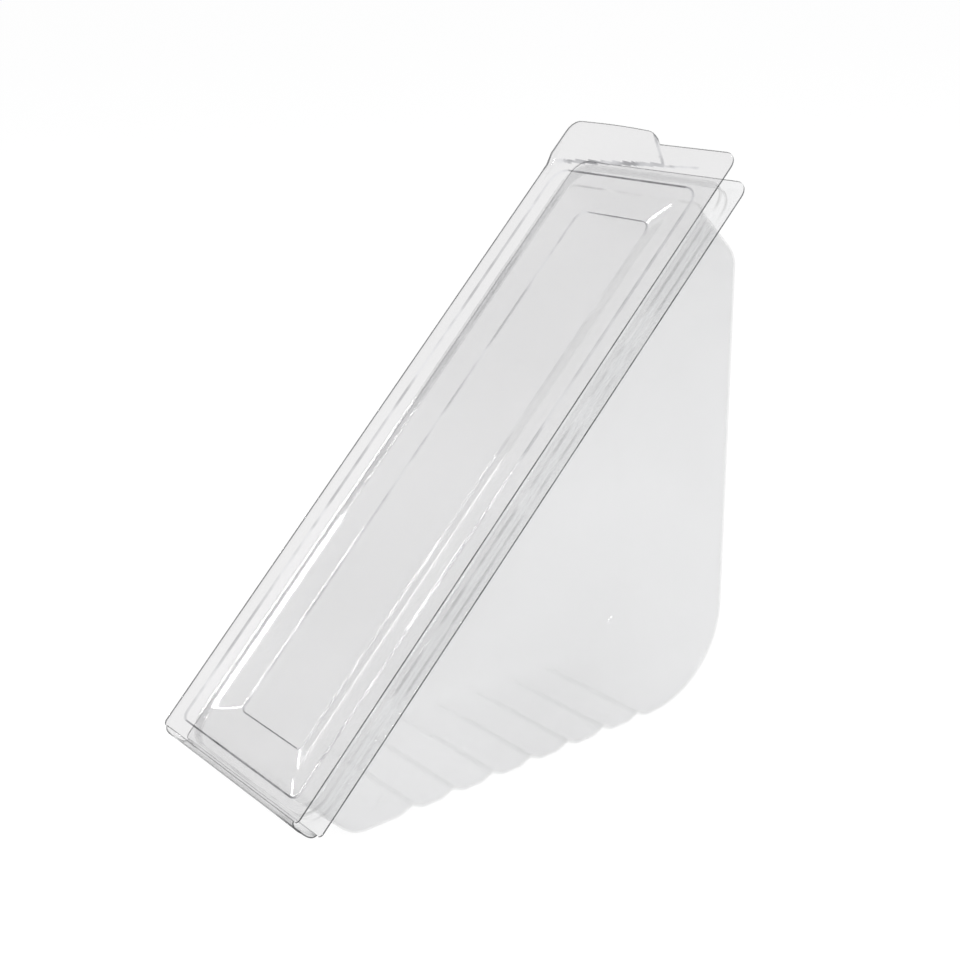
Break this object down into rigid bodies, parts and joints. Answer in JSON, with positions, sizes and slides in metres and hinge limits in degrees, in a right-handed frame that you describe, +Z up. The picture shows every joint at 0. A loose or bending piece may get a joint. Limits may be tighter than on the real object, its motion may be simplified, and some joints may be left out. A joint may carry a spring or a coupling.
{
  "type": "sandwich wedge pack",
  "caption": "Clear hinged triangular sandwich pack with a ribbed leg wall, a recessed lid and a lifting tab, standing on its leg.",
  "frame": {"origin": "under the middle of the closed pack's outer box, on the surface it stands on", "axes": "+Z up, X across the width, -Y towards the sloping lid and its hinge, +Y towards the upright leg wall"},
  "size_m": [0.0634, 0.1394, 0.1487],
  "materials": {
    "clear_sheet": "gloss",
    "clear_lid_sheet": "gloss"
  },
  "bodies": {
    "base": {"base_tray": "clear_sheet"},
    "lid_body": {"lid": "clear_lid_sheet"}
  },
  "joints": [
    {"name": "lid_hinge", "type": "hinge", "parent": "base", "child": "lid_body", "pos_m": [0, -0.06778, 0.01057], "axis": [1, 0, 0], "range_deg": [0, 180]}
  ]
}
